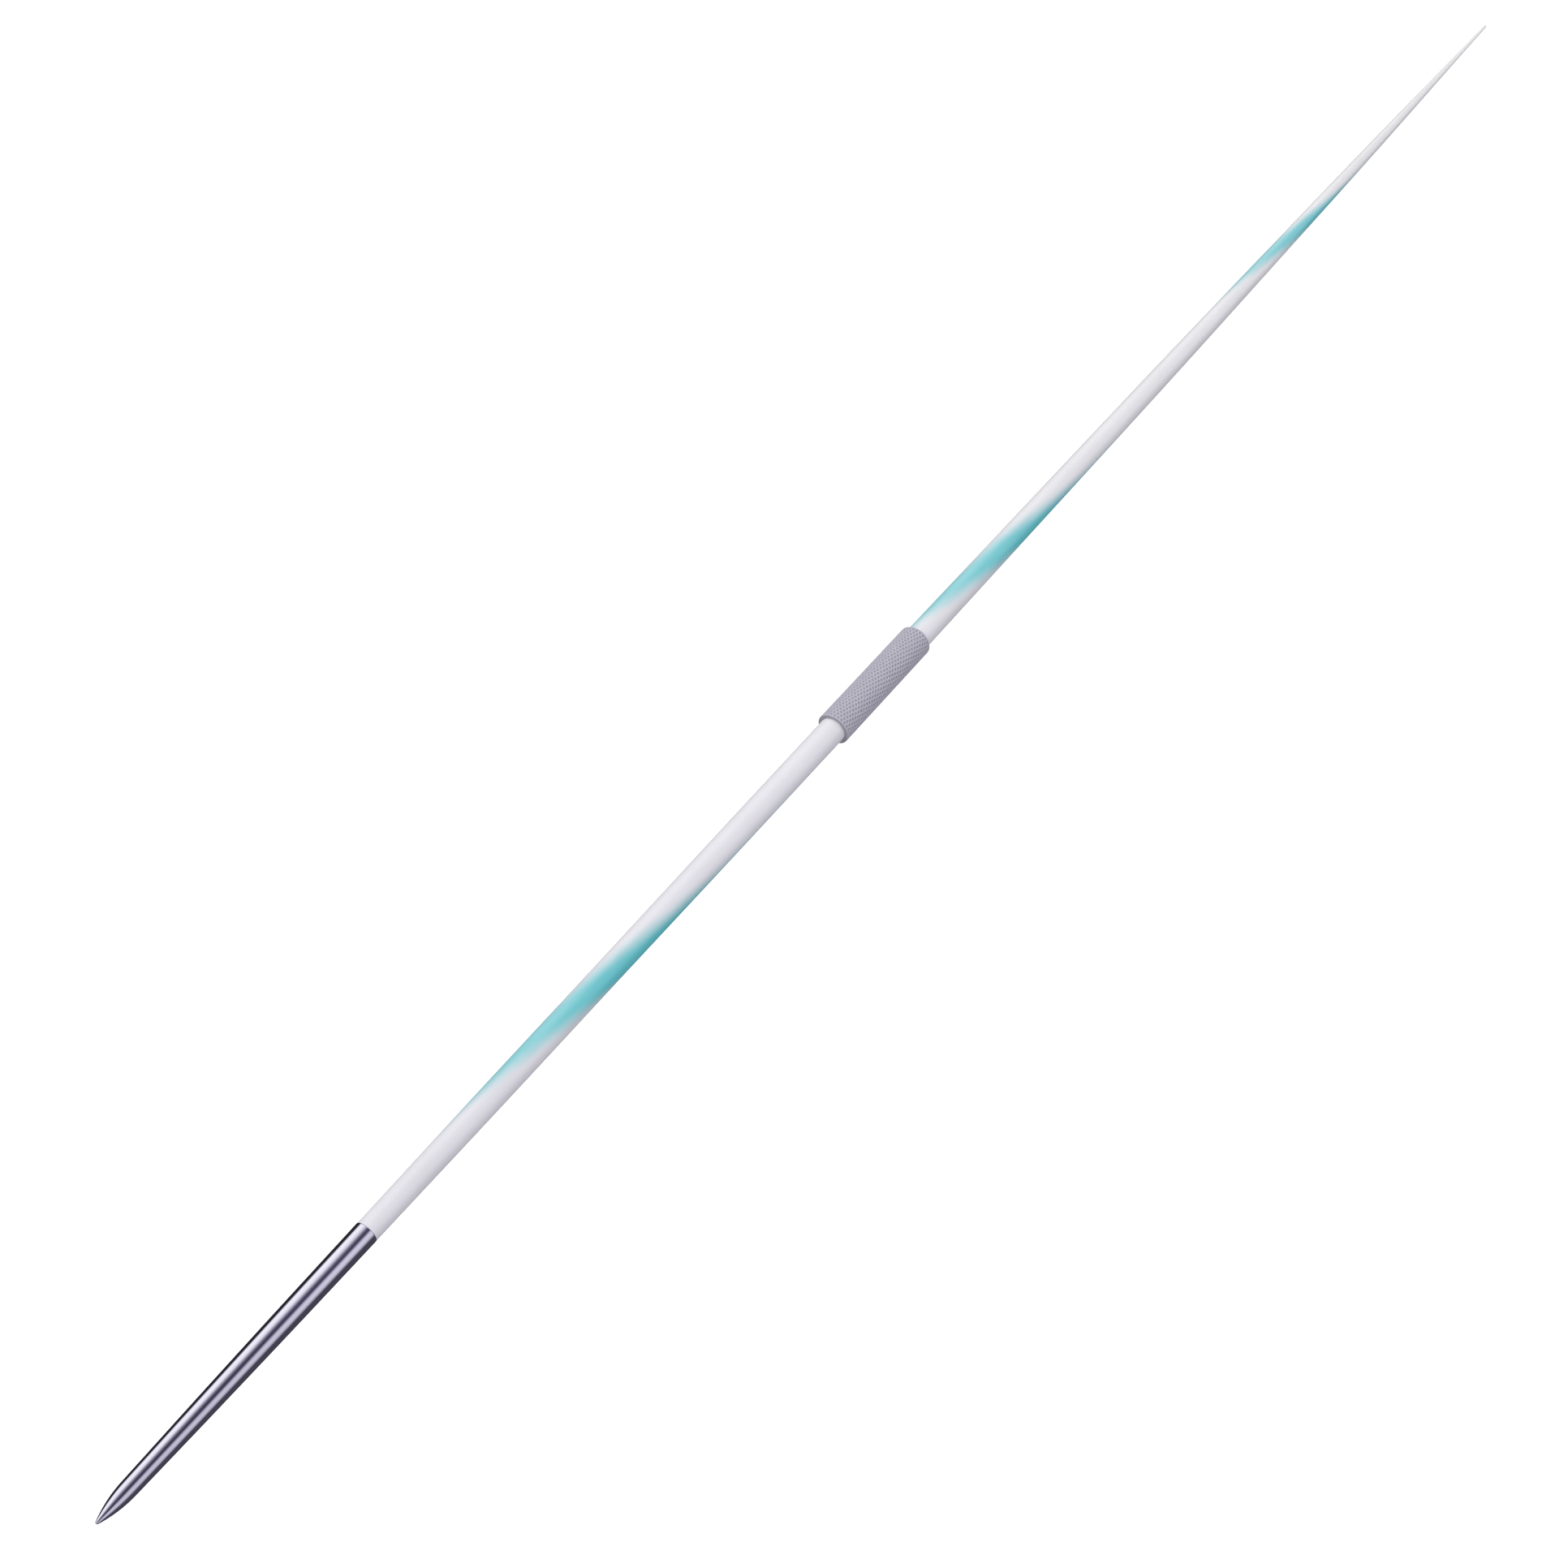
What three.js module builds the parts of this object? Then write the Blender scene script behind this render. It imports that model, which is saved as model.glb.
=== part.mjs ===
// A competition javelin, lying along X with the point of its nose towards -X and +Z up.
//
// Every piece is a body of revolution about the javelin's own axis, so each is turned from a profile of
// [radius, station] rows. A station is a distance along the axis from the point of the nose. The origin is
// the balance point, on the axis in the middle of the grip.

import * as THREE from 'three';

// Driving dimensions, in millimetres

// Places along the javelin
const overall_length = 2630;
const nose_length = 33;
const head_length = 297;
const balance_from_tip = 1058;
const grip_length = 154;
const tail_tip_length = 90;

// Outer diameters, from the nose to the tail
const nose_base_d = 15.1;
const head_rear_d = 21.7;
const shaft_front_d = 21.3;
const shaft_thickest_d = 27.3;
const shaft_behind_grip_d = 26.9;
const tail_end_d = 3.5;

// How the outline swells between those diameters. Each row is [share of the way along, share of the change].
const head_swell_shares = [[0, 0], [0.32, 0.43], [0.67, 0.78], [1, 1]];
const front_swell_shares = [[0, 0], [0.23, 0.36], [0.49, 0.55], [0.76, 0.85], [1, 1]];
const rear_taper_shares = [
  [0, 0], [0.07, 0.03], [0.175, 0.07], [0.345, 0.14], [0.54, 0.32], [0.755, 0.57], [0.865, 0.77], [0.94, 0.91], [1, 1],
];

// Head
const nose_point_r = 1.5;
const head_wall = 0.7;
const head_edge_round = 0.45;
const tip_stub_length = 15;
const slug_length = 18;

// Shaft tubes
const front_wall = 0.47;
const rear_wall = 0.47;
const neck_length = 55;
const shoulder_length = 3;
const joint_sleeve_length = 130;
const joint_sleeve_wall = 1;

// Grip
const tape_thickness = 0.4;
const grip_thickness = 2.9;
const grip_lip_length = 2;
const grip_front_round = 0.6;
const grip_rear_round = 4.2;

// Tail
const tail_spigot_length = 25;

// The film of adhesive, braze or weld between two pieces that are joined
const bond_gap = 0.3;

// Number of flat sides round each piece, and of steps along each stretch
const round_sides = 36;
const nose_steps = 9;
const point_steps = 3;
const edge_steps = 4;
const head_steps = 8;
const front_steps = 11;
const rear_steps = 15;
const tail_steps = 4;
const short_steps = 3;

// Places that follow from the driving dimensions
const grip_front = balance_from_tip - grip_length / 2;
const grip_rear = balance_from_tip + grip_length / 2;
const tail_joint = overall_length - tail_tip_length;
const neck_front = head_length - neck_length;
const shoulder = head_length + bond_gap;
const stub_end = nose_length + tip_stub_length;

// A smooth curve through rows of [station, radius] that never swings past a row
function smoothThrough(rows) {
  const rises = rows.slice(1).map(([s, r], i) => (r - rows[i][1]) / (s - rows[i][0]));
  const slopes = rows.map((_, i) => {
    const before = rises[Math.max(i - 1, 0)];
    const after = rises[Math.min(i, rises.length - 1)];
    return before * after > 0 ? (2 * before * after) / (before + after) : 0;
  });
  return (station) => {
    let i = rows.findIndex(([s]) => s > station) - 1;
    if (i < 0) i = station <= rows[0][0] ? 0 : rows.length - 2;
    const [s0, r0] = rows[i];
    const [s1, r1] = rows[i + 1];
    const span = s1 - s0;
    const t = (station - s0) / span;
    const u = 1 - t;
    const ends = r0 * u * u * (1 + 2 * t) + r1 * t * t * (1 + 2 * u);
    return ends + span * t * u * (slopes[i] * u - slopes[i + 1] * t);
  };
}

// The same from a table of shares, between two stations and two diameters
function swell(shares, from, to, d_from, d_to) {
  return smoothThrough(shares.map(([along, grown]) => [
    from + along * (to - from),
    (d_from + grown * (d_to - d_from)) / 2,
  ]));
}

// The outlines that every piece takes its radii from
const head_outline = swell(head_swell_shares, nose_length, head_length, nose_base_d, head_rear_d);
const front_outline = swell(front_swell_shares, head_length, grip_front, shaft_front_d, shaft_thickest_d);
const under_grip = swell([[0, 0], [1, 1]], grip_front, grip_rear, shaft_thickest_d, shaft_behind_grip_d);
const rear_outline = swell(rear_taper_shares, grip_rear, overall_length, shaft_behind_grip_d, tail_end_d);

function shaft_outline(station) {
  if (station < grip_front) return front_outline(station);
  return station < grip_rear ? under_grip(station) : rear_outline(station);
}

const head_bore = (station) => head_outline(station) - head_wall;
const neck_outline = (station) => head_bore(station) - bond_gap;
const front_bore = (station) => shaft_outline(station) - front_wall;
const rear_bore = (station) => shaft_outline(station) - rear_wall;

// Rows of an outline at even steps from one station to another, in either direction
function sampled(outline, from, to, steps) {
  return Array.from({ length: steps + 1 }, (_, i) => {
    const station = from + ((to - from) * i) / steps;
    return [outline(station), station];
  });
}

// Rows of a circular arc about [radius, station], from one angle to another; 0 points away from the axis
// and a quarter turn points towards the tail
function arc(centre_r, centre_s, round, angle_from, angle_to, steps) {
  return Array.from({ length: steps + 1 }, (_, i) => {
    const angle = angle_from + ((angle_to - angle_from) * i) / steps;
    return [centre_r + round * Math.cos(angle), centre_s + round * Math.sin(angle)];
  });
}

const quarter = Math.PI / 2;

// A solid turned from a profile that starts and ends on the axis
function solid(rows) {
  return turned([[0, rows[0][1]], ...rows, [0, rows[rows.length - 1][1]]]);
}

// A tube turned from its outer rows, nose end first, and its inner rows, tail end first
function tube(outer, inner) {
  return turned([...outer, ...inner, outer[0]]);
}

function turned(rows) {
  return new THREE.LatheGeometry(rows.map(([radius, station]) => new THREE.Vector2(radius, station)), round_sides);
}

// Materials

const polished_steel = { color: 0xc9c6d6, roughness: 0.12, metalness: 1 };
const plain_steel = { color: 0x8f9297, roughness: 0.4, metalness: 0.9 };
const pearl_lacquer = { color: 0xe4e2ea, roughness: 0.3, metalness: 0.1 };
const plain_aluminium = { color: 0xc4c7cb, roughness: 0.35, metalness: 0.9 };
const grip_rubber = { color: 0xb2b0be, roughness: 0.8, metalness: 0 };
const tape_cloth = { color: 0xd8d4c4, roughness: 0.9, metalness: 0 };

// Pieces of the head

// Solid nose: a rounded point, an ogive that runs into the head's cone, and the stub that the shell is welded to
function head_tip() {
  const base_r = head_outline(nose_length);
  const lean = (head_outline(nose_length + nose_base_d) - base_r) / nose_base_d;
  let ogive_r = 0;
  let point_end = -quarter / 2;
  // the point and the ogive meet where they lean alike, which a few turns of this find
  for (let turn = 0; turn < 20; turn += 1) {
    const reach = nose_length - nose_point_r * (1 + Math.sin(point_end));
    const drop = base_r - lean * reach - nose_point_r * Math.cos(point_end);
    ogive_r = (reach * reach + drop * drop) / (2 * drop);
    point_end = -Math.atan(lean + reach / Math.sqrt(ogive_r * ogive_r - reach * reach));
  }
  const ogive = (station) => {
    const back = nose_length - station;
    return base_r - lean * back - ogive_r + Math.sqrt(ogive_r * ogive_r - back * back);
  };
  const point = arc(0, nose_point_r, nose_point_r, -quarter, point_end, point_steps).slice(1);
  const ogive_front = nose_point_r * (1 + Math.sin(point_end));
  const stub_r = head_bore(nose_length) - bond_gap;
  return turned([
    [0, 0],
    ...point,
    ...sampled(ogive, ogive_front, nose_length, nose_steps).slice(1),
    [stub_r, nose_length],
    [stub_r, stub_end],
    [0, stub_end],
  ]);
}

// Hollow cone from the nose to the head's rear edge, which is slightly rounded
function head_shell() {
  const front = nose_length + bond_gap;
  const round = Math.min(head_edge_round, head_wall / 2);
  const edge = head_length - round;
  return tube(
    [
      ...sampled(head_outline, front, edge, head_steps).slice(0, -1),
      ...arc(head_outline(edge) - round, edge, round, 0, quarter, edge_steps),
    ],
    sampled(head_bore, head_length, front, head_steps),
  );
}

// Slug wedged in the shell's taper just behind the nose's stub
function balance_slug() {
  const front = stub_end + bond_gap;
  return solid(sampled(neck_outline, front, front + slug_length, short_steps));
}

// Pieces of the shaft

// Front tube, with the drawn-in neck that the head is bonded on to
function front_shaft() {
  const bend = shoulder + front_wall;
  const neck_bore = (station) => neck_outline(Math.min(station, head_length)) - front_wall;
  return tube(
    [
      ...sampled(neck_outline, neck_front, head_length, short_steps),
      [neck_outline(head_length), shoulder],
      ...sampled(shaft_outline, shoulder, balance_from_tip, front_steps),
    ],
    [
      ...sampled(front_bore, balance_from_tip, bend + shoulder_length, front_steps),
      ...sampled(neck_bore, bend, neck_front, short_steps),
    ],
  );
}

// Rear tube, which tapers all the way to the tail tip
function rear_shaft() {
  const front = balance_from_tip + bond_gap;
  return tube(
    sampled(shaft_outline, front, tail_joint, rear_steps),
    sampled(rear_bore, tail_joint, front, rear_steps),
  );
}

// Sleeve inside both tubes where they meet
function joint_sleeve() {
  const front = balance_from_tip - joint_sleeve_length / 2;
  const rear = balance_from_tip + joint_sleeve_length / 2;
  const wall = Math.max(front_wall, rear_wall);
  const outline = (station) => shaft_outline(station) - wall - bond_gap;
  const bore = (station) => outline(station) - joint_sleeve_wall;
  return tube(sampled(outline, front, rear, short_steps), sampled(bore, rear, front, short_steps));
}

// Solid tail end, with a spigot that fills the thin end of the rear tube
function tail_tip() {
  const spigot_r = rear_bore(tail_joint) - bond_gap;
  const front = tail_joint + bond_gap;
  return solid([
    [spigot_r, front - tail_spigot_length],
    [spigot_r, front],
    ...sampled(shaft_outline, front, overall_length, tail_steps),
  ]);
}

// Pieces of the grip

const tape_outline = (station) => shaft_outline(station) + bond_gap + tape_thickness;
const grip_pocket = (station) => tape_outline(station) + bond_gap;
const grip_lip = (station) => shaft_outline(station) + bond_gap;
const pocket_front = grip_front + grip_lip_length;
const pocket_rear = grip_rear - grip_lip_length;

// Tape wound round both tubes under the sleeve
function grip_tape() {
  const front = pocket_front + bond_gap;
  const rear = pocket_rear - bond_gap;
  return tube(sampled(tape_outline, front, rear, short_steps), sampled(grip_lip, rear, front, short_steps));
}

// Textured sleeve: a flat front face, a rounded rear edge, and a lip at each end that closes it on the shaft
function grip_sleeve() {
  const outer_r = grip_pocket(grip_front) + grip_thickness;
  const front_round = Math.min(grip_front_round, grip_thickness / 2);
  const rear_round = Math.min(grip_rear_round, outer_r - grip_lip(grip_rear) - bond_gap);
  return tube(
    [
      ...arc(outer_r - front_round, grip_front + front_round, front_round, -quarter, 0, edge_steps),
      ...arc(outer_r - rear_round, grip_rear - rear_round, rear_round, 0, quarter, edge_steps),
    ],
    [
      ...sampled(grip_lip, grip_rear, pocket_rear, 1),
      ...sampled(grip_pocket, pocket_rear, pocket_front, short_steps),
      ...sampled(grip_lip, pocket_front, grip_front, 1),
    ],
  );
}

// Assembly

const along_the_javelin = new THREE.Group();
along_the_javelin.rotation.z = -quarter;
along_the_javelin.position.x = -balance_from_tip;

function add(name, geometry, look) {
  const mesh = new THREE.Mesh(geometry, new THREE.MeshStandardMaterial(look));
  mesh.name = name;
  along_the_javelin.add(mesh);
}

add('head_tip', head_tip(), polished_steel);
add('head_shell', head_shell(), polished_steel);
add('balance_slug', balance_slug(), plain_steel);
add('front_shaft', front_shaft(), pearl_lacquer);
add('joint_sleeve', joint_sleeve(), plain_aluminium);
add('rear_shaft', rear_shaft(), pearl_lacquer);
add('grip_tape', grip_tape(), tape_cloth);
add('grip_sleeve', grip_sleeve(), grip_rubber);
add('tail_tip', tail_tip(), pearl_lacquer);

const javelin = new THREE.Group();
javelin.add(along_the_javelin);

export default javelin;
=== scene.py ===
"""The looks of a competition javelin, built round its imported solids.

The javelin lies along X with the point of its nose towards -X. Everything is in metres. An angle round the
javelin is 0 at the top (+Z) and grows towards -Y.
"""

from math import ceil, cos, pi, radians, sin, sqrt

import bmesh
import bpy
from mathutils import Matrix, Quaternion, Vector


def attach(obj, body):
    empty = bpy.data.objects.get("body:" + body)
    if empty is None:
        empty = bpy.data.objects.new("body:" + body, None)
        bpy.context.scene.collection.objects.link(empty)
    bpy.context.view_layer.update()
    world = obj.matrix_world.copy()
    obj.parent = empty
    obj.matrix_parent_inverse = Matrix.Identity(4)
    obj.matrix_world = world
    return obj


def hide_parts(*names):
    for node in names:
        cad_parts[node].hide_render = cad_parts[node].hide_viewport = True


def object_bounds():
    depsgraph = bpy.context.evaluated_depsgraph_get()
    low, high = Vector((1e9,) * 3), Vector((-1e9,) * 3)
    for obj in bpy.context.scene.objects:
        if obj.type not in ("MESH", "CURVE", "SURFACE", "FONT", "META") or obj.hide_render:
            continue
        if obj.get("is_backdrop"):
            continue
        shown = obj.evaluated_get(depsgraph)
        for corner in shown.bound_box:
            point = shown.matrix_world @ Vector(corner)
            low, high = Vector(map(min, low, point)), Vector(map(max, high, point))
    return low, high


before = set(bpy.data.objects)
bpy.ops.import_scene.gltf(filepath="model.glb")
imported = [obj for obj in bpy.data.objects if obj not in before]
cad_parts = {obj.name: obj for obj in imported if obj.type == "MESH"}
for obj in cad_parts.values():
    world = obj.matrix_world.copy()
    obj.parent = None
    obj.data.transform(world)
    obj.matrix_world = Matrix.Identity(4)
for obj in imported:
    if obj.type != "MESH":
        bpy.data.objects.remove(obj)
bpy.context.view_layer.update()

MM = 0.001
TURN = 2 * pi

# A measure under this counts as nothing
TINY = 1e-6

# Fineness of the turned pieces, and what counts as a corner of their outlines
TURNED_SIDES = 144
LONGEST_STEP = 9 * MM
STEPS_BETWEEN_ROWS = 4
CORNER = radians(34)
LARGEST_BULGE = 0.5 * MM

# Places along the axis where two solids leave a film of weld or glue, which is ground flush or painted over
NOSE_WELD = -1.02485
TAIL_JOINT = 1.48215

# Net of the grip: its cells round and rows along, how far in cells each row is turned on from the last, how
# far behind the front edge it starts, and how far down the rear's round it ends
CELLS_ROUND = 26
CELL_ROWS = 42
CELL_LEAN = -0.21
NET_START = 0.5 * MM
NET_END_LEAN = radians(70)

# The plain rings that finish the rear's round behind the net
ROUND_END_LEANS = [radians(lean) for lean in (75, 80, 85, 90)]

# Corners of a cell, as (cells round, rows along) from its middle
HEXAGON = ((0, -2 / 3), (1 / 2, -1 / 3), (1 / 2, 1 / 3), (0, 2 / 3), (-1 / 2, 1 / 3), (-1 / 2, -1 / 3))

# How many parts a cell and a row divide into, so that each point of a rim lies on a whole part
RIM_PARTS = 12

# In the rows that end the net, rim points farther out than this part of a row lie on its straight edge
EDGE_REACH = 0.2

# Rings of a pit, as (share of the cell's rim, height over the crest), and its floor
PIT_RINGS = ((0.88, -0.03 * MM), (0.74, -0.20 * MM), (0.60, -0.62 * MM), (0.42, -0.90 * MM))
PIT_FLOOR = -0.98 * MM

# How round a pit is, where 0 is hexagonal like its cell and 1 is round
PIT_ROUNDNESS = 0.8

# How much painted shade the grip's flat front face gets, where 0 is the crest of the net and 1 the floor of a
# pit
FACE_PAINTED_SHADE = 0.6

# Path of the stripe that winds round the shaft: a place along it and the angle that its middle has there, its
# turns for each metre from there and how they change, and how far it swings off them once and twice a turn
STRIPE_CROSSING = 0.1864
STRIPE_FACING = radians(27.3)
STRIPE_TURNS = 1.4144
STRIPE_STRETCH = -0.033
STRIPE_SWINGS = (0.7375, -0.0871)

# How far the stripe's edges wander to either side
STRIPE_DRIFT = radians(4)

# Paint of the stripe: where each of its edges starts and where it is full, as angles off its middle, how it
# narrows along the shaft, how deep it is, how much that changes round the shaft as painted sheen and shade
# (paler on the lit side, deeper on the shaded side), how it changes along the shaft, and where it fades out
STRIPE_LEAD = (radians(68), radians(-12.8))
STRIPE_TRAIL = (radians(-125.9), radians(-43.8))
STRIPE_NARROWING = 0.051
STRIPE_DEPTH = 0.81
STRIPE_PAINTED_SHEEN_AND_SHADE = 0.18
STRIPE_DEPTH_ALONG = -0.049
STRIPE_END = (1.42, 1.50)

# Where the lacquer's lavender tint starts to fade along the javelin, and where it is gone
TINT_FADE = (-0.3, 1.45)

# Colours, in pairs where a noise or a weave goes from one to the other
STEELS = ((0.80, 0.78, 0.88, 1), (0.83, 0.81, 0.92, 1))
FRONT_WHITES = ((0.757, 0.747, 0.790, 1), (0.777, 0.767, 0.814, 1))
TAIL_WHITES = ((0.766, 0.762, 0.776, 1), (0.786, 0.782, 0.797, 1))
TURQUOISES = ((0.118, 0.565, 0.617, 1), (0.136, 0.590, 0.637, 1))
RUBBER_CRESTS = ((0.445, 0.435, 0.508, 1), (0.485, 0.475, 0.548, 1))
# The rubber's colour darkened as painted shade, fullest at the floor of a pit
RUBBER_PAINTED_SHADE = (0.335, 0.327, 0.390, 1)
CLOTHS = ((0.42, 0.39, 0.30, 1), (0.55, 0.52, 0.42, 1))
PLAIN_STEEL = (0.50, 0.51, 0.53)
PLAIN_ALUMINIUM = (0.72, 0.73, 0.75)

# How much paler the lines of drawn metal get than its colour
LINE_PALENESS = 1.12

# Waves of the tape's weave: radians for each radian round the shaft, and for each metre along it
WARP_WAVES = 180.0
WEFT_WAVES = 12000.0

# Where most values of a noise lie
NOISE_SPAN = (0.3, 0.7)

# Sockets of a colour mix: its share and two colours, and the mixed colour
MIX_INPUTS = (0, 6, 7)
MIX_OUTPUT = 2

# Camera
AIM = Vector((-0.163787, -0.001058, -0.000534))
FROM_AZIMUTH = radians(-55.5548)
FROM_ELEVATION = radians(47.6436)
ROLL = radians(-0.035)
DISTANCE = 2.1203
LENS = 50.66
SENSOR_WIDTH = 36
FARTHEST_SEEN = 100

# Floor and even light
FLOOR_Z = -1.0
FLOOR_HALF = 20.0
FLOOR_PAINT = 0.50
FLOOR_GLOW = 0.74
AMBIENT = 0.67

# Soft lamps, which hang parallel to the javelin
LAMP_DISTANCE = 2.6
LAMP_WIDTH = 1.4
LAMP_LENGTH = 4.5
KEY_ANGLE = radians(-21)
KEY_WATTS = 45
FILL_ANGLE = radians(86)
FILL_WATTS = 16.4
FILL_COLOUR = (0.865, 0.845, 1.0)

# Reflection card
CARD_RADIUS = 0.8
CARD_HALF_LENGTH = 3.2
CARD_STEPS = 120

# How bright the reflection card is, by the angle round the javelin in degrees
CARD_STOPS = (
    (-32, (1.0, 1.0, 1.0)),
    (-23, (0.90, 0.90, 0.93)),
    (-11, (0.61, 0.60, 0.655)),
    (1, (0.27, 0.26, 0.325)),
    (13, (0.095, 0.090, 0.135)),
    (24, (0.053, 0.049, 0.083)),
    (35, (0.10, 0.095, 0.15)),
    (47, (0.51, 0.50, 0.59)),
    (59, (0.71, 0.70, 0.78)),
    (73, (0.695, 0.685, 0.76)),
    (87, (0.50, 0.49, 0.56)),
    (101, (0.112, 0.107, 0.141)),
    (112, (0.060, 0.057, 0.078)),
    (125, (0.067, 0.064, 0.086)),
    (230, (0.055, 0.055, 0.070)),
    (258, (0.020, 0.020, 0.027)),
    (284, (0.020, 0.020, 0.027)),
    (293, (0.58, 0.57, 0.60)),
    (300, (0.96, 0.96, 0.97)),
    (308, (1.09, 1.09, 1.10)),
    (318, (1.07, 1.07, 1.08)),
    (328, (1.0, 1.0, 1.0)),
)

# The middle of the card is dimmer towards the nose and brighter towards the grip: by which share, between
# which places along it, and between which angles its middle begins and ends
CARD_FADE = 0.12
CARD_FADE_ALONG = (-0.79, -0.55)
CARD_FADE_IN = (radians(-19), radians(-7))
CARD_FADE_OUT = (radians(35), radians(95))


# Outlines


def meridian(node):
    """The outline of a turned solid as (x, radius) rows in order, nose end and outer side first.

    A solid's outline starts and ends on the axis. A tube's is a closed loop whose first row isn't repeated.
    """
    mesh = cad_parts[node].data
    row_of = {}
    for v in mesh.vertices:
        x, y, z = v.co
        if abs(y) < TINY and z > -TINY:
            row_of[v.index] = (round(x, 6), round(max(z, 0.0), 6))
    links = {}
    for e in mesh.edges:
        a, b = (row_of.get(i) for i in e.vertices)
        if a is not None and b is not None and a != b:
            links.setdefault(a, set()).add(b)
            links.setdefault(b, set()).add(a)
    ends = sorted(row for row in links if len(links[row]) == 1)
    if ends:
        rows = [ends[0], *links[ends[0]]]
    else:
        first = max(links, key=lambda row: (-row[0], row[1]))
        rows = [first, max(links[first])]
    while True:
        onward = [row for row in links[rows[-1]] if row != rows[-2]]
        if not onward or onward[0] == rows[0]:
            return rows
        rows.append(onward[0])


def moved(rows, place, reach=0.6 * MM):
    """The rows, with those near a place along the axis moved on to it."""
    return [(place if abs(x - place) < reach else x, r) for x, r in rows]


def is_corner(rows, i, closed):
    """Whether the outline has a corner at row i, as at the ends of an open one.

    It has where it turns sharply, and where a smooth curve through the row might bulge off a long chord.
    """
    if not closed and i in (0, len(rows) - 1):
        return True
    before, here, after = (Vector(rows[k % len(rows)]) for k in (i - 1, i, i + 1))
    first, second = here - before, after - here
    turn = first.angle(second)
    bulge = max(first.length, second.length) ** 2 * turn / (4 * (first.length + second.length))
    return turn > CORNER or bulge > LARGEST_BULGE


def slope(before, after):
    """The direction of the outline at a row, from the rows before and after it."""
    return (after - before).normalized()


def free_end(chord, other_end):
    """The direction at an end of a curve that has no curvature there, from the direction at its other end."""
    return 1.5 * chord - 0.5 * other_end


def end_directions(rows, i, j, corner):
    """The directions at the two ends of the curve from row i to row j, made as long as suits its chord."""
    a, b = Vector(rows[i]), Vector(rows[j])
    chord = b - a
    start = slope(Vector(rows[i - 1]), b) * chord.length
    end = slope(a, Vector(rows[(j + 1) % len(rows)])) * chord.length
    if corner[i] and corner[j]:
        return chord, chord
    if corner[i]:
        return free_end(chord, end), end
    if corner[j]:
        return start, free_end(chord, start)
    return start, end


def hermite(a, b, start, end, t):
    """The point at the share t of the curve from a to b that has the given directions at its two ends."""
    u = 1 - t
    return a * u * u * (1 + 2 * t) + b * t * t * (1 + 2 * u) + start * t * u * u - end * t * t * u


def smoothed(rows, closed):
    """Fine (x, radius) rows on a smooth curve through coarse ones, and which of them are corners."""
    count = len(rows)
    corner = [is_corner(rows, i, closed) for i in range(count)]
    fine, sharp = [], set()
    for i in range(count if closed else count - 1):
        j = (i + 1) % count
        a, b = Vector(rows[i]), Vector(rows[j])
        start, end = end_directions(rows, i, j, corner)
        steps = ceil((b - a).length / LONGEST_STEP)
        if not (corner[i] and corner[j]):
            steps = max(STEPS_BETWEEN_ROWS, steps)
        if corner[i]:
            sharp.add(len(fine))
        fine.extend(tuple(hermite(a, b, start, end, k / steps)) for k in range(steps))
    if not closed:
        sharp.add(len(fine))
        fine.append(rows[-1])
    return fine, sharp


# Meshes


def around(x, radius, angle):
    """The point at a place along the javelin's axis, a radius off it and an angle round it."""
    return (x, -radius * sin(angle), radius * cos(angle))


def new_piece(name, points, faces, hard_edges=(), pits=None):
    """A smooth closed mesh with its faces turned outwards and the given pairs of points as hard edges."""
    mesh = bpy.data.meshes.new(name)
    mesh.from_pydata(points, [], faces)
    # Each point's share of painted shade, kept on the mesh for the rubber's colour
    if pits is not None:
        mesh.attributes.new("pit", "FLOAT", "POINT").data.foreach_set("value", pits)
    work = bmesh.new()
    work.from_mesh(mesh)
    bmesh.ops.recalc_face_normals(work, faces=work.faces)
    hard = {frozenset(pair) for pair in hard_edges}
    for face in work.faces:
        face.smooth = True
    for edge in work.edges:
        edge.smooth = frozenset(v.index for v in edge.verts) not in hard
    work.to_mesh(mesh)
    work.free()
    piece = bpy.data.objects.new(name, mesh)
    bpy.context.scene.collection.objects.link(piece)
    return piece


def band(first, second):
    """The quads between two rings of as many points."""
    count = len(first)
    return [(first[k], second[k], second[(k + 1) % count], first[(k + 1) % count]) for k in range(count)]


def fan(ring, centre):
    """The triangles between a ring and a point."""
    count = len(ring)
    return [(ring[k], centre, ring[(k + 1) % count]) for k in range(count)]


def ring_edges(ring):
    return [(ring[k], ring[(k + 1) % len(ring)]) for k in range(len(ring))]


def turned(name, rows, sharp, closed, sides=TURNED_SIDES):
    """A mesh of revolution through rows of (x, radius), whose sharp rows keep a hard edge."""
    points, faces, hard, rings = [], [], [], []
    for n, (x, r) in enumerate(rows):
        if r < TINY:
            rings.append([len(points)])
            points.append((x, 0.0, 0.0))
            continue
        ring = list(range(len(points), len(points) + sides))
        points.extend(around(x, r, TURN * k / sides) for k in range(sides))
        rings.append(ring)
        if n in sharp:
            hard.extend(ring_edges(ring))
    for n in range(len(rows) if closed else len(rows) - 1):
        a, b = rings[n], rings[(n + 1) % len(rows)]
        if len(a) == 1:
            faces.extend(fan(b, a[0]))
        elif len(b) == 1:
            faces.extend(fan(a, b[0]))
        else:
            faces.extend(band(a, b))
    return new_piece(name, points, faces, hard)


def seat(piece, node, material):
    """Puts a finished piece in the place of its solid."""
    piece.data.materials.append(material)
    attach(piece, "root")
    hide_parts(node)
    return piece


def dress(name, node, material, rows=None):
    """A fine turned piece that stands for a solid of the frame."""
    rows = rows or meridian(node)
    closed = rows[0][1] > TINY
    fine, sharp = smoothed(rows, closed)
    return seat(turned(name, fine, sharp, closed), node, material)


# Grip


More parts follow.
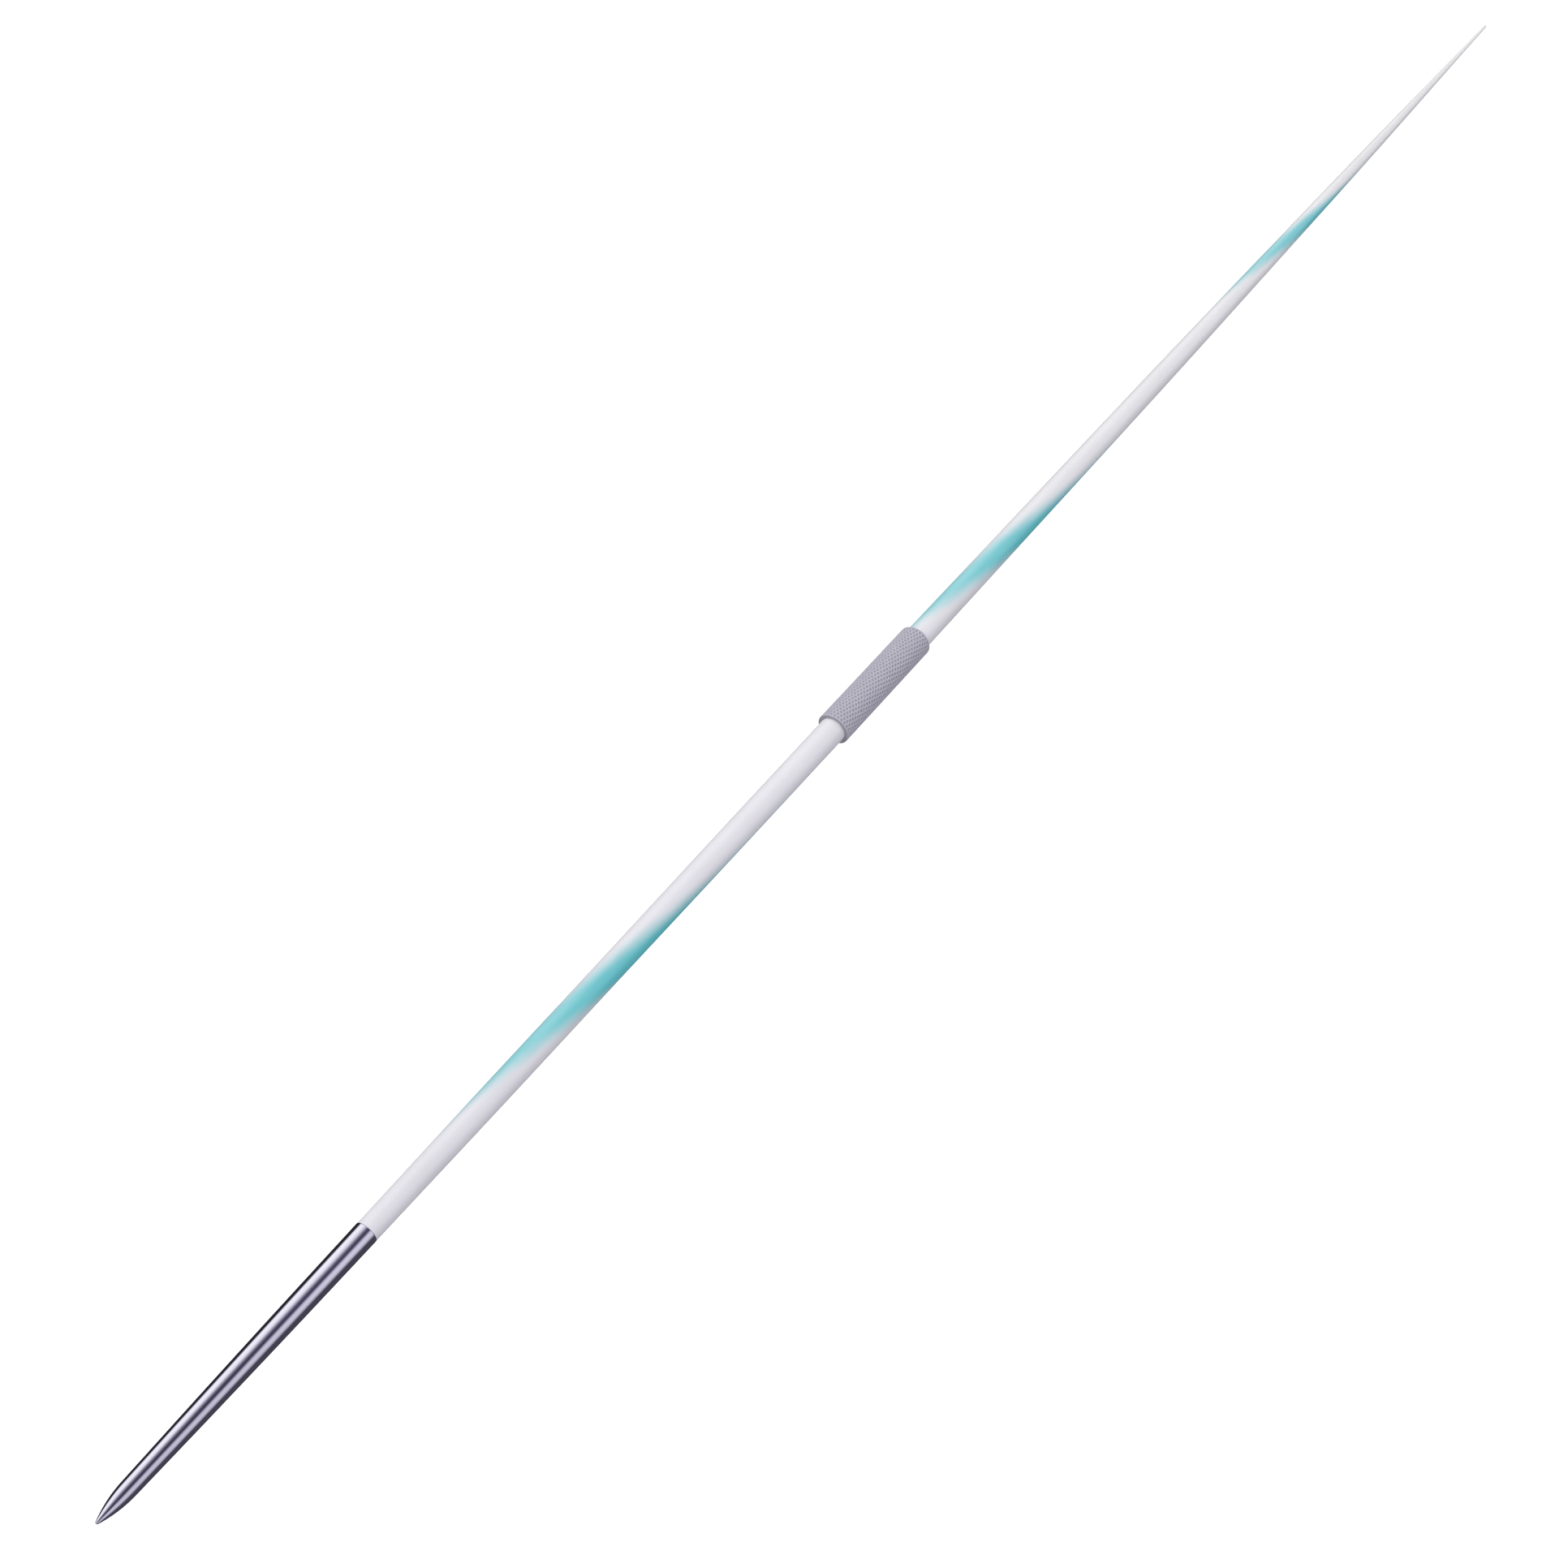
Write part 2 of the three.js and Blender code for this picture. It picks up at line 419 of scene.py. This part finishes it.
class Net:
    """The raised net on the outside of the grip's sleeve, laid out in cells round it and rows along it."""

    def __init__(self, rows):
        self.outer_r = max(r for _, r in rows)
        flat = [x for x, r in rows if r > self.outer_r - TINY]
        self.rear = max(flat)
        self.start = min(flat) + NET_START
        self.round_r = max(x for x, _ in rows) - self.rear
        self.straight = self.rear - self.start
        self.row_gap = (self.straight + self.round_r * NET_END_LEAN) / CELL_ROWS
        self.points, self.pits, self.faces, self.crest = [], [], [], {}

    def outline(self, along):
        """(x, radius) and the outward direction at a distance along the sleeve from the net's start."""
        if along <= self.straight:
            return (self.start + along, self.outer_r), (0.0, 1.0)
        lean = (along - self.straight) / self.round_r
        x = self.rear + self.round_r * sin(lean)
        return (x, self.outer_r - self.round_r * (1 - cos(lean))), (sin(lean), cos(lean))

    def angle(self, cells, row):
        return TURN * (cells + CELL_LEAN * row) / CELLS_ROUND

    def add(self, cells, row, height):
        """A point at a place in cells and rows, so high above the crest of the net."""
        (x, r), (out_x, out_r) = self.outline((row + 0.5) * self.row_gap)
        self.points.append(around(x + out_x * height, r + out_r * height, self.angle(cells, row)))
        # The deeper a point lies in its pit, the more painted shade it gets
        self.pits.append(height / PIT_FLOOR)
        return len(self.points) - 1

    def on_crest(self, cells, row):
        """The point of the crest there, made once for the cells that share it."""
        key = (round(cells * RIM_PARTS) % (CELLS_ROUND * RIM_PARTS), round(row * RIM_PARTS))
        if key not in self.crest:
            self.crest[key] = self.add(cells, row, 0.0)
        return self.crest[key]

    def cell(self, col, row):
        """One hexagonal cell with its pit. The cells at the ends of the net are cut off square."""
        middle = col + row % 2 / 2
        rim = []
        for (c, r), (next_c, next_r) in zip(HEXAGON, HEXAGON[1:] + HEXAGON[:1]):
            rim += [(c, r), ((c + next_c) / 2, (r + next_r) / 2)]
        end = {0: -1, CELL_ROWS - 1: 1}.get(row, 0)
        rim = [(c, end / 2 if r * end > EDGE_REACH else r) for c, r in rim]
        outer = [self.on_crest(middle + c, row + r) for c, r in rim]
        for share, height in PIT_RINGS:
            inner = []
            for c, r in rim:
                # A row is about sqrt(0.75) of a cell long. A corner lies farther out than the half cell of a
                # flank, and is drawn in more.
                corner_excess = max(0.0, 1 - 0.5 / sqrt(c * c + 0.75 * r * r))
                reach = share * (1 - PIT_ROUNDNESS * corner_excess)
                inner.append(self.add(middle + c * reach, row + r * reach, height))
            self.faces.extend(band(outer, inner))
            outer = inner
        self.faces.extend(fan(outer, self.add(middle, row, PIT_FLOOR)))

    def end_ring(self, row):
        """The points of the net's straight edge at one end, in order of their angles, and the first one's."""
        edge = [key for key in self.crest if key[1] == round(row * RIM_PARTS)]
        angles = {key: self.angle(key[0] / RIM_PARTS, row) % TURN for key in edge}
        edge.sort(key=angles.get)
        return [self.crest[key] for key in edge], angles[edge[0]]


def grip_sleeve(name, node, material):
    """The sleeve as one closed mesh: the net on its outside, with turned ends and a turned bore."""
    rows = meridian(node)
    net = Net(rows)
    for row in range(CELL_ROWS):
        for col in range(CELLS_ROUND):
            net.cell(col, row)
    front_ring, front_angle = net.end_ring(-0.5)
    rear_ring, rear_angle = net.end_ring(CELL_ROWS - 0.5)
    sides = len(front_ring)
    rear_rows = [net.outline(net.straight + net.round_r * lean)[0] for lean in ROUND_END_LEANS]
    rear_x = max(x for x, _ in rows)
    round_end = next(i for i, (x, _) in enumerate(rows) if x == rear_x)
    front_rows = [(x, r) for x, r in rows if x < 0 and r > rows[0][1] - TINY]
    path = [*rear_rows, *rows[round_end + 1:], *front_rows]
    hard = []
    last = rear_ring
    for n, (x, r) in enumerate(path):
        start = rear_angle + (front_angle - rear_angle) * n / len(path)
        ring = list(range(len(net.points), len(net.points) + sides))
        net.points.extend(around(x, r, start + TURN * k / sides) for k in range(sides))
        # The flat front face gets painted shade
        net.pits.extend([FACE_PAINTED_SHADE if x <= rows[0][0] else 0.0] * sides)
        net.faces.extend(band(last, ring))
        if 0 < n < len(path) - 1 and is_corner(path, n, True):
            hard.extend(ring_edges(ring))
        last = ring
    net.faces.extend(band(last, front_ring))
    piece = new_piece(name, net.points, net.faces, hard, net.pits)
    return seat(piece, node, material)


# Materials


class Look:
    """A node material with a Principled surface, and short ways to add nodes to it."""

    def __init__(self, name):
        self.material = bpy.data.materials.new(name)
        self.material.use_nodes = True
        self.tree = self.material.node_tree
        self.shader = self.tree.nodes["Principled BSDF"]
        self.place = self.node("ShaderNodeTexCoord").outputs["Object"]

    def node(self, kind, **values):
        made = self.tree.nodes.new(kind)
        for name, value in values.items():
            setattr(made, name, value)
        return made

    def link(self, source, target):
        self.tree.links.new(source, target)

    def fill(self, socket, value):
        if isinstance(value, bpy.types.NodeSocket):
            self.link(value, socket)
        else:
            socket.default_value = value

    def set(self, **values):
        """Sets sockets of the shader by name, with _ for each space."""
        for name, value in values.items():
            self.fill(self.shader.inputs[name.replace("_", " ")], value)

    def math(self, operation, a, b=0.0, c=0.0):
        made = self.node("ShaderNodeMath", operation=operation)
        for socket, value in zip(made.inputs, (a, b, c)):
            self.fill(socket, value)
        return made.outputs[0]

    def axes(self):
        made = self.node("ShaderNodeSeparateXYZ")
        self.link(self.place, made.inputs[0])
        return made.outputs

    def stretched(self, along, across):
        """The place on the object, scaled along the javelin and across it."""
        made = self.node("ShaderNodeVectorMath", operation="MULTIPLY")
        self.link(self.place, made.inputs[0])
        made.inputs[1].default_value = (along, across, across)
        return made.outputs[0]

    def angle(self):
        """The angle round the javelin."""
        _, y, z = self.axes()
        return self.math("ARCTAN2", self.math("MULTIPLY", y, -1.0), z)

    def noise(self, scale, detail=2.0, place=None):
        made = self.node("ShaderNodeTexNoise")
        self.link(place or self.place, made.inputs["Vector"])
        made.inputs["Scale"].default_value = scale
        made.inputs["Detail"].default_value = detail
        return made.outputs["Fac"]

    def spread(self, value, low, high, start=0.0, end=1.0, kind="LINEAR"):
        """The value's way from start to end as a number from low to high."""
        made = self.node("ShaderNodeMapRange", interpolation_type=kind)
        for socket, number in zip(made.inputs, (value, start, end, low, high)):
            self.fill(socket, number)
        return made.outputs[0]

    def mix(self, share, first, second):
        made = self.node("ShaderNodeMix", data_type="RGBA")
        for place, value in zip(MIX_INPUTS, (share, first, second)):
            self.fill(made.inputs[place], value)
        return made.outputs[MIX_OUTPUT]

    def bump(self, height, strength, distance):
        made = self.node("ShaderNodeBump")
        self.link(height, made.inputs["Height"])
        made.inputs["Strength"].default_value = strength
        made.inputs["Distance"].default_value = distance
        self.link(made.outputs[0], self.shader.inputs["Normal"])


def polished_steel():
    """Mirror-polished steel with faint turning marks round it."""
    look = Look("polished_steel")
    marks = look.noise(scale=1.0, detail=3.0, place=look.stretched(along=1400, across=30))
    haze = look.noise(scale=28, detail=3.0)
    dullness = look.spread(haze, low=0.0, high=0.03, start=0.35, end=0.7)
    look.set(
        Base_Color=look.mix(look.spread(haze, 0, 1, *NOISE_SPAN), *STEELS),
        Metallic=1.0,
        Roughness=look.math("ADD", look.spread(marks, low=0.04, high=0.09), dullness),
    )
    look.bump(marks, strength=0.04, distance=0.02 * MM)
    return look.material


def stripe_share(look):
    """How much of the stripe's paint lies on a point.

    The stripe is airbrushed: it fades along both its edges, its paint is thinner towards the tail, and it
    ends before the tail's end. Round the shaft it carries painted sheen and shade: it is paler on the lit
    side and deeper on the shaded side.
    """
    x, _, _ = look.axes()
    angle = look.angle()
    wander = look.noise(scale=35, detail=3.0)
    drift = look.spread(wander, low=-STRIPE_DRIFT, high=STRIPE_DRIFT, start=0.25, end=0.75)
    along = look.math("SUBTRACT", x, STRIPE_CROSSING)
    turns = look.math("MULTIPLY", look.math("MULTIPLY_ADD", along, STRIPE_STRETCH, STRIPE_TURNS), along)
    winding = look.math("MULTIPLY", turns, TURN)
    middle = look.math("ADD", winding, STRIPE_FACING)
    for n, swing in enumerate(STRIPE_SWINGS, 1):
        wave = look.math("SINE", look.math("MULTIPLY", winding, float(n)))
        middle = look.math("MULTIPLY_ADD", wave, swing, middle)
    off = look.math("ADD", look.math("SUBTRACT", angle, middle), drift)
    off = look.math("WRAP", off, pi, -pi)
    off = look.math("MULTIPLY", off, look.math("MULTIPLY_ADD", along, STRIPE_NARROWING, 1.0))
    lead = look.spread(off, 0.0, 1.0, *STRIPE_LEAD, kind="SMOOTHSTEP")
    trail = look.spread(off, 0.0, 1.0, *STRIPE_TRAIL, kind="SMOOTHSTEP")
    # Painted sheen and shade: the stripe is paler on the lit side of the shaft, towards +Y, and deeper on the
    # shaded side
    depth_and_painted_light = look.math("MULTIPLY_ADD", look.math("SINE", angle), STRIPE_PAINTED_SHEEN_AND_SHADE, STRIPE_DEPTH)
    depth_and_painted_light = look.math("MULTIPLY_ADD", along, STRIPE_DEPTH_ALONG, depth_and_painted_light)
    depth_and_painted_light = look.math("MULTIPLY", look.spread(x, 1.0, 0.0, *STRIPE_END), depth_and_painted_light)
    return look.math("MULTIPLY", look.math("MULTIPLY", lead, trail), depth_and_painted_light)


def shaft_lacquer():
    """Pearly white lacquer with the turquoise stripe under it."""
    look = Look("shaft_lacquer")
    cloud = look.spread(look.noise(scale=18, detail=2.0), 0, 1, *NOISE_SPAN)
    flake = look.noise(scale=2600, detail=1.0)
    x, _, _ = look.axes()
    front_white = look.mix(cloud, *FRONT_WHITES)
    tail_white = look.mix(cloud, *TAIL_WHITES)
    white = look.mix(look.spread(x, 0, 1, *TINT_FADE), front_white, tail_white)
    turquoise = look.mix(cloud, *TURQUOISES)
    look.set(
        Base_Color=look.mix(stripe_share(look), white, turquoise),
        Roughness=look.spread(flake, 0.30, 0.40, *NOISE_SPAN),
        Specular_IOR_Level=0.5,
        Diffuse_Roughness=0.3,
    )
    look.bump(look.noise(scale=420, detail=2.0), strength=0.05, distance=0.05 * MM)
    return look.material


def grip_rubber():
    """Matt grey rubber, with painted shade down in the pits of the net and on the sleeve's flat front face.
    """
    look = Look("grip_rubber")
    pit = look.node("ShaderNodeAttribute", attribute_name="pit").outputs["Fac"]
    wear = look.spread(look.noise(scale=120, detail=4.0), 0, 1, *NOISE_SPAN)
    crest = look.mix(wear, *RUBBER_CRESTS)
    look.set(
        # Painted shade: the colour goes dark down in the pits and on the flat front face
        Base_Color=look.mix(look.spread(pit, 0, 1, start=0.1, end=0.9), crest, RUBBER_PAINTED_SHADE),
        Roughness=look.spread(wear, low=0.62, high=0.54),
    )
    look.bump(look.noise(scale=2200, detail=3.0), strength=0.25, distance=0.06 * MM)
    return look.material


def plain_metal(name, colour, fineness):
    """Drawn metal with fine lines along it."""
    look = Look(name)
    lines = look.noise(scale=1.0, detail=4.0, place=look.stretched(along=20, across=fineness))
    pale = tuple(min(1.0, c * LINE_PALENESS) for c in colour)
    look.set(
        Base_Color=look.mix(lines, (*colour, 1), (*pale, 1)),
        Metallic=1.0,
        Roughness=look.spread(lines, low=0.25, high=0.5),
    )
    look.bump(lines, strength=0.15, distance=0.05 * MM)
    return look.material


def tape_cloth():
    """Cream cloth tape with its weave."""
    look = Look("tape_cloth")
    x, _, _ = look.axes()
    warp = look.math("SINE", look.math("MULTIPLY", look.angle(), WARP_WAVES))
    weft = look.math("SINE", look.math("MULTIPLY", x, WEFT_WAVES))
    weave = look.spread(look.math("MULTIPLY", warp, weft), 0, 1, start=-1, end=1)
    look.set(
        Base_Color=look.mix(weave, *CLOTHS),
        Roughness=look.spread(weave, low=0.95, high=0.85),
    )
    look.bump(weave, strength=0.3, distance=0.05 * MM)
    return look.material


# Stage


def to_eye(tree):
    """1 for a camera, glossy or transmission ray and 0 for the rays that light the object."""
    path = tree.nodes.new("ShaderNodeLightPath")
    share = None
    for kind in ("Is Camera Ray", "Is Glossy Ray", "Is Transmission Ray"):
        if share is None:
            share = path.outputs[kind]
            continue
        both = tree.nodes.new("ShaderNodeMath")
        both.operation = "MAXIMUM"
        tree.links.new(share, both.inputs[0])
        tree.links.new(path.outputs[kind], both.inputs[1])
        share = both.outputs[0]
    return share


def pale_world():
    """White to the eye and in reflections, and a dimmer even light on the object."""
    world = bpy.data.worlds.new("studio")
    world.use_nodes = True
    tree = world.node_tree
    ground = tree.nodes["Background"]
    ground.inputs["Color"].default_value = (1, 1, 1, 1)
    level = tree.nodes.new("ShaderNodeMapRange")
    tree.links.new(to_eye(tree), level.inputs["Value"])
    level.inputs["To Min"].default_value = AMBIENT
    level.inputs["To Max"].default_value = 1.0
    tree.links.new(level.outputs[0], ground.inputs["Strength"])
    bpy.context.scene.world = world


def pale_floor():
    """A plain floor that looks white and keeps the javelin's shadow."""
    half = FLOOR_HALF
    corners = [(-half, -half, FLOOR_Z), (half, -half, FLOOR_Z), (half, half, FLOOR_Z), (-half, half, FLOOR_Z)]
    mesh = bpy.data.meshes.new("floor")
    mesh.from_pydata(corners, [], [(0, 1, 2, 3)])
    floor = bpy.data.objects.new("floor", mesh)
    bpy.context.scene.collection.objects.link(floor)
    look = Look("floor")
    glow = look.math("MULTIPLY", to_eye(look.tree), FLOOR_GLOW)
    look.set(Base_Color=(*[FLOOR_PAINT] * 3, 1), Roughness=0.9, Specular_IOR_Level=0.0)
    look.set(Emission_Color=(1, 1, 1, 1), Emission_Strength=glow)
    mesh.materials.append(look.material)
    floor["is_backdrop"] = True


def card_look():
    """The card's glow: a ramp of brightness round the javelin, and a fade along the card's middle."""
    first, last = (radians(CARD_STOPS[i][0]) for i in (0, -1))
    look = Look("reflection_card")
    x, _, _ = look.axes()
    angle = look.math("WRAP", look.angle(), first + TURN, first)
    begins = look.spread(angle, 0, 1, *CARD_FADE_IN)
    ends = look.spread(angle, 1, 0, *CARD_FADE_OUT)
    fade = look.spread(x, -CARD_FADE, CARD_FADE, *CARD_FADE_ALONG)
    ramp = look.node("ShaderNodeValToRGB")
    look.link(look.spread(angle, 0, 1, first, last), ramp.inputs[0])
    stops = ramp.color_ramp.elements
    stops[0].color = (*CARD_STOPS[0][1], 1)
    stops[-1].color = (*CARD_STOPS[-1][1], 1)
    for degrees, colour in CARD_STOPS[1:-1]:
        stops.new((radians(degrees) - first) / (last - first)).color = (*colour, 1)
    glow = look.node("ShaderNodeEmission")
    look.link(ramp.outputs[0], glow.inputs["Color"])
    middle = look.math("MULTIPLY", begins, ends)
    look.link(look.math("MULTIPLY_ADD", middle, fade, 1.0), glow.inputs["Strength"])
    look.link(glow.outputs[0], look.tree.nodes["Material Output"].inputs["Surface"])
    return look.material


def reflection_card():
    """A long curved studio card round the javelin, which only reflections see: it draws the steel's bands."""
    first, last = (radians(CARD_STOPS[i][0]) for i in (0, -1))
    points, faces = [], []
    for k in range(CARD_STEPS + 1):
        angle = first + (last - first) * k / CARD_STEPS
        points += [around(x, CARD_RADIUS, angle) for x in (-CARD_HALF_LENGTH, CARD_HALF_LENGTH)]
        if k:
            faces.append((2 * k - 2, 2 * k, 2 * k + 1, 2 * k - 1))
    mesh = bpy.data.meshes.new("reflection_card")
    mesh.from_pydata(points, [], faces)
    card = bpy.data.objects.new("reflection_card", mesh)
    bpy.context.scene.collection.objects.link(card)
    mesh.materials.append(card_look())
    for ray in ("camera", "diffuse", "transmission", "volume_scatter", "shadow"):
        setattr(card, "visible_" + ray, False)
    card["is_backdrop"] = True


def soft_box(name, angle, watts, colour=(1, 1, 1)):
    """A long soft lamp that hangs parallel to the javelin and faces it."""
    lamp = bpy.data.lights.new(name, "AREA")
    lamp.shape = "RECTANGLE"
    lamp.size, lamp.size_y = LAMP_LENGTH, LAMP_WIDTH
    lamp.energy = watts
    lamp.color = colour
    box = bpy.data.objects.new(name, lamp)
    bpy.context.scene.collection.objects.link(box)
    low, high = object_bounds()
    middle = (low.x + high.x) / 2
    box.location = around(middle, LAMP_DISTANCE, angle)
    towards = Vector((middle, 0, 0)) - box.location
    box.rotation_euler = towards.to_track_quat("-Z", "Y").to_euler()
    box.visible_camera = False
    box.visible_glossy = False


def camera():
    """The camera, at the photograph's viewing angle."""
    back = Vector((
        sin(FROM_AZIMUTH) * cos(FROM_ELEVATION),
        -cos(FROM_AZIMUTH) * cos(FROM_ELEVATION),
        sin(FROM_ELEVATION),
    ))
    data = bpy.data.cameras.new("camera")
    data.sensor_width = SENSOR_WIDTH
    data.lens = LENS
    data.clip_end = FARTHEST_SEEN
    cam = bpy.data.objects.new("camera", data)
    cam.location = AIM + back * DISTANCE
    cam.rotation_mode = "QUATERNION"
    cam.rotation_quaternion = (-back).to_track_quat("-Z", "Y") @ Quaternion((0, 0, 1), ROLL)
    bpy.context.scene.collection.objects.link(cam)
    bpy.context.scene.camera = cam


steel = polished_steel()
lacquer = shaft_lacquer()
dress("nose_point", "head_tip", steel, moved(meridian("head_tip"), NOSE_WELD))
dress("head_cone", "head_shell", steel, moved(meridian("head_shell"), NOSE_WELD))
dress("front_tube", "front_shaft", lacquer)
dress("rear_tube", "rear_shaft", lacquer, moved(meridian("rear_shaft"), TAIL_JOINT))
dress("tail_end_cap", "tail_tip", lacquer, moved(meridian("tail_tip"), TAIL_JOINT))
grip_sleeve("netted_grip", "grip_sleeve", grip_rubber())

for hidden, material in (
    ("balance_slug", plain_metal("plain_steel", PLAIN_STEEL, fineness=900)),
    ("joint_sleeve", plain_metal("plain_aluminium", PLAIN_ALUMINIUM, fineness=700)),
    ("grip_tape", tape_cloth()),
):
    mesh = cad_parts[hidden].data
    mesh.materials.clear()
    mesh.materials.append(material)

pale_world()
pale_floor()
reflection_card()
soft_box("key_light", KEY_ANGLE, KEY_WATTS)
soft_box("fill_light", FILL_ANGLE, FILL_WATTS, FILL_COLOUR)
camera()

bpy.context.scene.view_settings.view_transform = "Standard"
